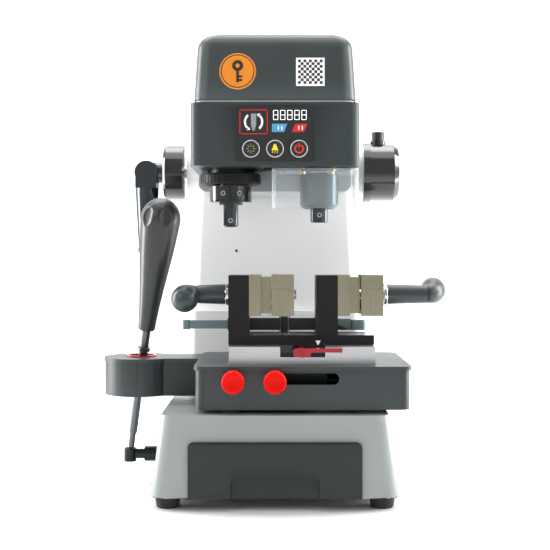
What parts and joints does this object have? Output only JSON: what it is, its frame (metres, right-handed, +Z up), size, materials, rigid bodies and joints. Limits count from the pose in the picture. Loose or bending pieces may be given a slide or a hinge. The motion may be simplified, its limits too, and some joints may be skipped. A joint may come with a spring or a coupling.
{
  "type": "key duplicating machine",
  "caption": "Vertical milling key duplicator: joystick-moved vice carriage on a base with a drawer, and a lever-fed head with a cutter spindle and a tracer.",
  "frame": {"origin": "on the bench under the middle of the machine, midway between the tracer's and the cutter's axes", "axes": "+Z up, +X to the operator's right, -Y towards the operator"},
  "size_m": [0.357, 0.319, 0.4609],
  "materials": {
    "aluminium": "milled",
    "belt_rubber": "matt",
    "black_plastic": "gloss",
    "black_steel": "black oxide",
    "bright_steel": "ground",
    "bronze": "plain",
    "clear_plastic": "clear",
    "dark_paint": "satin dark paint",
    "grey_steel": "blued",
    "grip_plastic": "satin",
    "nickel": "satin nickel",
    "pale_casting": "satin paint",
    "red_enamel": "anodised",
    "red_plastic": "gloss",
    "rubber": "matt",
    "sheet_steel": "satin",
    "supply_metal": "plain"
  },
  "bodies": {
    "base": {"base_casting": "pale_casting", "bottom_plate": "sheet_steel", "rubber_feet": "rubber", "base_fasteners": "bright_steel", "power_supply": "supply_metal", "power_inlet": "black_plastic", "column_casting": "pale_casting", "column_rear_cover": "sheet_steel", "head_guide_rods": "bright_steel", "y_rails": "bright_steel", "joystick_anchor": "bright_steel", "shaft_bushes": "bronze", "spring_drum": "black_plastic", "return_spring": "bright_steel", "drawer_runners": "bright_steel"},
    "head_lock": {"head_lock_screw": "black_plastic"},
    "drawer": {"drawer_tray": "black_plastic", "drawer_front": "sheet_steel"},
    "cross_slide": {"cross_slide": "aluminium", "y_bearings": "bronze", "x_guide_rods": "bright_steel"},
    "knob_right": {"lock_knob_right": "red_plastic"},
    "carriage": {"carriage_housing": "dark_paint", "x_bearing_blocks": "aluminium", "pivot_seal_ring": "red_plastic", "vice_rail": "aluminium"},
    "knob_left": {"lock_knob_left": "red_plastic"},
    "gimbal": {"gimbal_ring": "bright_steel"},
    "joystick": {"joystick_rod": "bright_steel", "joystick_grip": "grip_plastic"},
    "table_lever": {"table_lever": "black_steel"},
    "cam_lever": {"cam_lever": "red_enamel"},
    "vice": {"vice_plate": "black_steel", "vice_uprights": "black_steel", "fixed_jaws": "nickel"},
    "jaw_left": {"moving_jaw_left": "nickel"},
    "jaw_right": {"moving_jaw_right": "nickel"},
    "handle_left": {"clamp_handle_left": "black_plastic"},
    "handle_right": {"clamp_handle_right": "black_plastic"},
    "feed": {"feed_shaft": "bright_steel", "feed_pinion": "bright_steel", "lever_hub": "black_plastic"},
    "feed_lever": {"feed_lever": "black_plastic"},
    "head": {"head_frame": "grey_steel", "feed_rack": "bright_steel", "head_housing": "dark_paint", "head_cover": "dark_paint", "motor_body": "supply_metal", "drive_belt": "belt_rubber", "spindle_housing": "grey_steel", "tracer_housing": "black_steel", "spindle_guard": "clear_plastic", "control_panel": "black_plastic"},
    "motor": {"motor_rotor": "bright_steel"},
    "spindle": {"spindle_shaft": "bright_steel"},
    "tracer_ring": {"tracer_ring": "bright_steel"},
    "tracer": {"tracer_shaft": "bright_steel"},
    "button_left": {"button_left": "black_plastic"},
    "button_middle": {"button_middle": "black_plastic"},
    "button_right": {"button_right": "black_plastic"}
  },
  "joints": [
    {"name": "table_fore_aft", "type": "slide", "parent": "base", "child": "cross_slide", "axis": [0, 1, 0], "range_m": [-0.004, 0.026]},
    {"name": "table_left_right", "type": "slide", "parent": "cross_slide", "child": "carriage", "axis": [1, 0, 0], "range_m": [-0.046, 0.002]},
    {"name": "gimbal_tilt", "type": "hinge", "parent": "carriage", "child": "gimbal", "pos_m": [-0.141, -0.033, 0.122], "axis": [0, 1, 0], "range_deg": [-30, 4]},
    {"name": "joystick_tilt", "type": "hinge", "parent": "gimbal", "child": "joystick", "pos_m": [-0.141, -0.033, 0.122], "axis": [0.989, 0, -0.1478], "range_deg": [-17, 4]},
    {"name": "knob_left_turn", "type": "hinge", "parent": "carriage", "child": "knob_left", "pos_m": [-0.0396, -0.15, 0.122], "axis": [0, 1, 0], "range_deg": [0, 180]},
    {"name": "knob_right_turn", "type": "hinge", "parent": "cross_slide", "child": "knob_right", "pos_m": [0, -0.15, 0.122], "axis": [0, 1, 0], "range_deg": [0, 180]},
    {"name": "table_lever_swing", "type": "hinge", "parent": "carriage", "child": "table_lever", "pos_m": [0.01, -0.027, 0.165], "axis": [0, 0, 1], "range_deg": [-5, 5]},
    {"name": "cam_lever_turn", "type": "hinge", "parent": "carriage", "child": "cam_lever", "pos_m": [0.0263, -0.119, 0.1471], "axis": [0, -1, 0], "range_deg": [0, 85]},
    {"name": "vice_shift", "type": "slide", "parent": "carriage", "child": "vice", "axis": [1, 0, 0], "range_m": [-0.004, 0.004]},
    {"name": "clamp_left_turn", "type": "hinge", "parent": "vice", "child": "handle_left", "pos_m": [-0.0469, -0.068, 0.202], "axis": [-1, 0, 0], "range_deg": [0, 721]},
    {"name": "jaw_left_close", "type": "slide", "parent": "vice", "child": "jaw_left", "axis": [-1, 0, 0], "range_m": [0, 0.006]},
    {"name": "jaw_right_close", "type": "slide", "parent": "vice", "child": "jaw_right", "axis": [-1, 0, 0], "range_m": [0, 0.006]},
    {"name": "clamp_right_turn", "type": "hinge", "parent": "jaw_right", "child": "handle_right", "pos_m": [0.1106, -0.068, 0.202], "axis": [-1, 0, 0], "range_deg": [0, 721]},
    {"name": "head_travel", "type": "slide", "parent": "base", "child": "head", "axis": [0, 0, -1], "range_m": [0, 0.04], "stiffness_N_per_m": 1500, "springref_m": -0.15},
    {"name": "feed_turn", "type": "hinge", "parent": "base", "child": "feed", "pos_m": [0, 0.088, 0.338], "axis": [-1, 0, 0], "range_deg": [0, 116]},
    {"name": "lever_fold", "type": "hinge", "parent": "feed", "child": "feed_lever", "pos_m": [-0.149, 0.088, 0.338], "axis": [0, 1, 0], "range_deg": [0, 90]},
    {"name": "head_lock_turn", "type": "hinge", "parent": "base", "child": "head_lock", "pos_m": [0.12, 0.088, 0.38], "axis": [0, 0, 1], "range_deg": [0, 180]},
    {"name": "drawer_pull", "type": "slide", "parent": "base", "child": "drawer", "axis": [0, -1, 0], "range_m": [0, 0.12]},
    {"name": "motor_spin", "type": "hinge", "parent": "head", "child": "motor", "pos_m": [0, 0.002, 0.36], "axis": [0, 0, 1], "continuous": true},
    {"name": "spindle_spin", "type": "hinge", "parent": "head", "child": "spindle", "pos_m": [0.045, -0.07, 0.34], "axis": [0, 0, 1], "continuous": true},
    {"name": "tracer_ring_turn", "type": "hinge", "parent": "head", "child": "tracer_ring", "pos_m": [-0.045, -0.07, 0.3188], "axis": [0, 0, 1], "range_deg": [-541, 541]},
    {"name": "tracer_depth", "type": "slide", "parent": "head", "child": "tracer", "axis": [0, 0, 1], "range_m": [-0.0015, 0.0015]},
    {"name": "left_button_press", "type": "slide", "parent": "head", "child": "button_left", "axis": [0, 1, 0], "range_m": [0, 0.0006], "stiffness_N_per_m": 800},
    {"name": "middle_button_press", "type": "slide", "parent": "head", "child": "button_middle", "axis": [0, 1, 0], "range_m": [0, 0.0006], "stiffness_N_per_m": 800},
    {"name": "right_button_press", "type": "slide", "parent": "head", "child": "button_right", "axis": [0, 1, 0], "range_m": [0, 0.0006], "stiffness_N_per_m": 800}
  ],
  "couplings": [
    {"joint": "gimbal_tilt", "follows": "table_left_right", "rad_per_m": 10.9},
    {"joint": "joystick_tilt", "follows": "table_fore_aft", "rad_per_m": -10.7},
    {"joint": "feed_turn", "follows": "head_travel", "rad_per_m": 50},
    {"joint": "spindle_spin", "follows": "motor_spin", "ratio": 1.4545},
    {"joint": "tracer_ring_turn", "follows": "tracer_depth", "rad_per_m": 6283.2},
    {"joint": "clamp_left_turn", "follows": "jaw_left_close", "rad_per_m": 2094.4},
    {"joint": "clamp_right_turn", "follows": "jaw_right_close", "rad_per_m": 2094.4}
  ]
}
